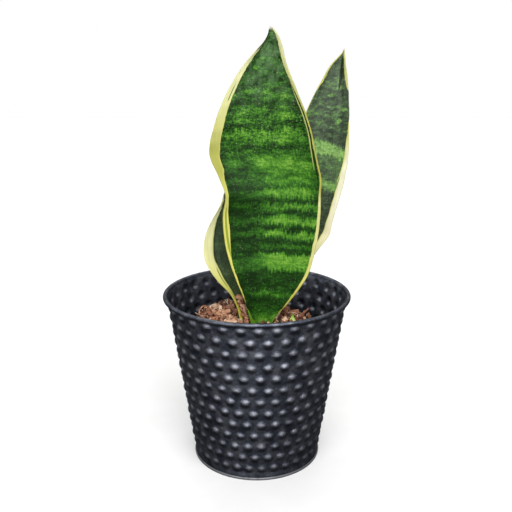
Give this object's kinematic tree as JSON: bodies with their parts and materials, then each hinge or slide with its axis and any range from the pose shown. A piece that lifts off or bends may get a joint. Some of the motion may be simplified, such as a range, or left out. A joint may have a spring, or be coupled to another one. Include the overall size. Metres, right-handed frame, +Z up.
{
  "type": "potted snake plant",
  "caption": "Young snake plant with broad upright banded leaves and yellow margins, in a black embossed round metal pot holding a smaller nursery pot of husk mix.",
  "frame": {"origin": "on the metal pot's axis, at the surface that the pot stands on", "axes": "+Z up along the pot's axis, -Y towards the front, the side that the broad leaf's channelled face shows, +X to the right seen from the front"},
  "size_m": [0.145, 0.145, 0.329],
  "materials": {
    "embossed_metal": "satin",
    "wire": "satin",
    "base_metal": "satin",
    "nursery_plastic": "matte",
    "husk_mix": "matte",
    "husk": "matte",
    "rhizome_skin": "matte",
    "root_skin": "matte",
    "leaf_banded": "satin",
    "leaf_grey": "satin",
    "leaf_dark": "satin",
    "shoot_green": "satin"
  },
  "bodies": {
    "root": {"pot_wall": "embossed_metal", "rim_wire": "wire", "pot_base": "base_metal", "nursery_pot": "nursery_plastic", "potting_mix": "husk_mix", "rhizome": "rhizome_skin", "root_1": "root_skin", "root_2": "root_skin", "root_3": "root_skin", "root_4": "root_skin", "root_5": "root_skin", "root_6": "root_skin", "leaf_front": "leaf_banded", "leaf_right": "leaf_grey", "leaf_left": "leaf_dark", "new_shoot": "shoot_green", "husk_chip_1": "husk", "husk_chip_2": "husk", "husk_chip_3": "husk", "husk_chip_4": "husk", "husk_chip_5": "husk", "husk_chip_6": "husk", "husk_chip_7": "husk", "husk_chip_8": "husk", "husk_chip_9": "husk", "husk_chip_10": "husk", "husk_chip_11": "husk", "husk_chip_12": "husk", "husk_chip_13": "husk", "husk_chip_14": "husk", "fibre_curl": "husk", "twig": "husk"}
  },
  "joints": []
}
